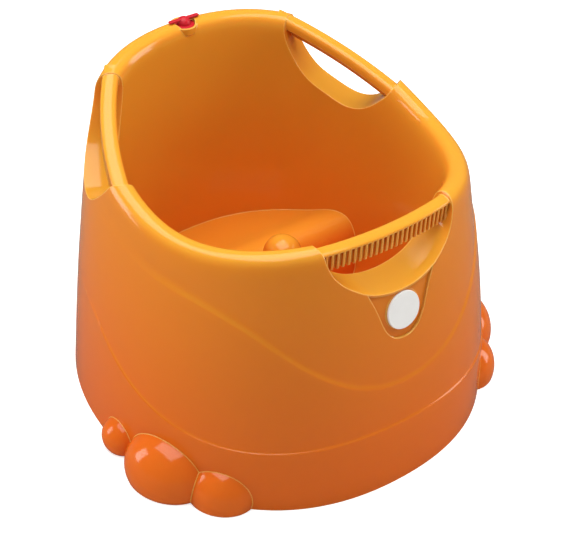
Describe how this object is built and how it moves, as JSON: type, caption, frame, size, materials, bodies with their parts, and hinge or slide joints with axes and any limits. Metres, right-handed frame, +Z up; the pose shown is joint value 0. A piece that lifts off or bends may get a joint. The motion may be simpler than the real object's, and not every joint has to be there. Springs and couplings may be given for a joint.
{
  "type": "baby bathtub",
  "caption": "Bell-shaped upright baby bathtub with raised seat, pommel, deep foot well, ribbed grip handles in the rim, toe bumps at the foot, a parked drain stopper and a bare disc.",
  "frame": {"origin": "centre of the footprint, on the floor the tub stands on", "axes": "+Z up; -Y is the front with the disc and the low rim; +Y is the high back with the stopper; +X is to the right seen from behind the front handle"},
  "size_m": [0.5768, 0.5414, 0.4174],
  "materials": {
    "tub_plastic": "glossy warm orange polypropylene",
    "stopper_rubber": "soft glossy red",
    "disc_white": "smooth white, no print"
  },
  "bodies": {
    "root": {"tub_body": "tub_plastic", "stopper": "stopper_rubber", "badge_disc": "disc_white"}
  },
  "joints": []
}
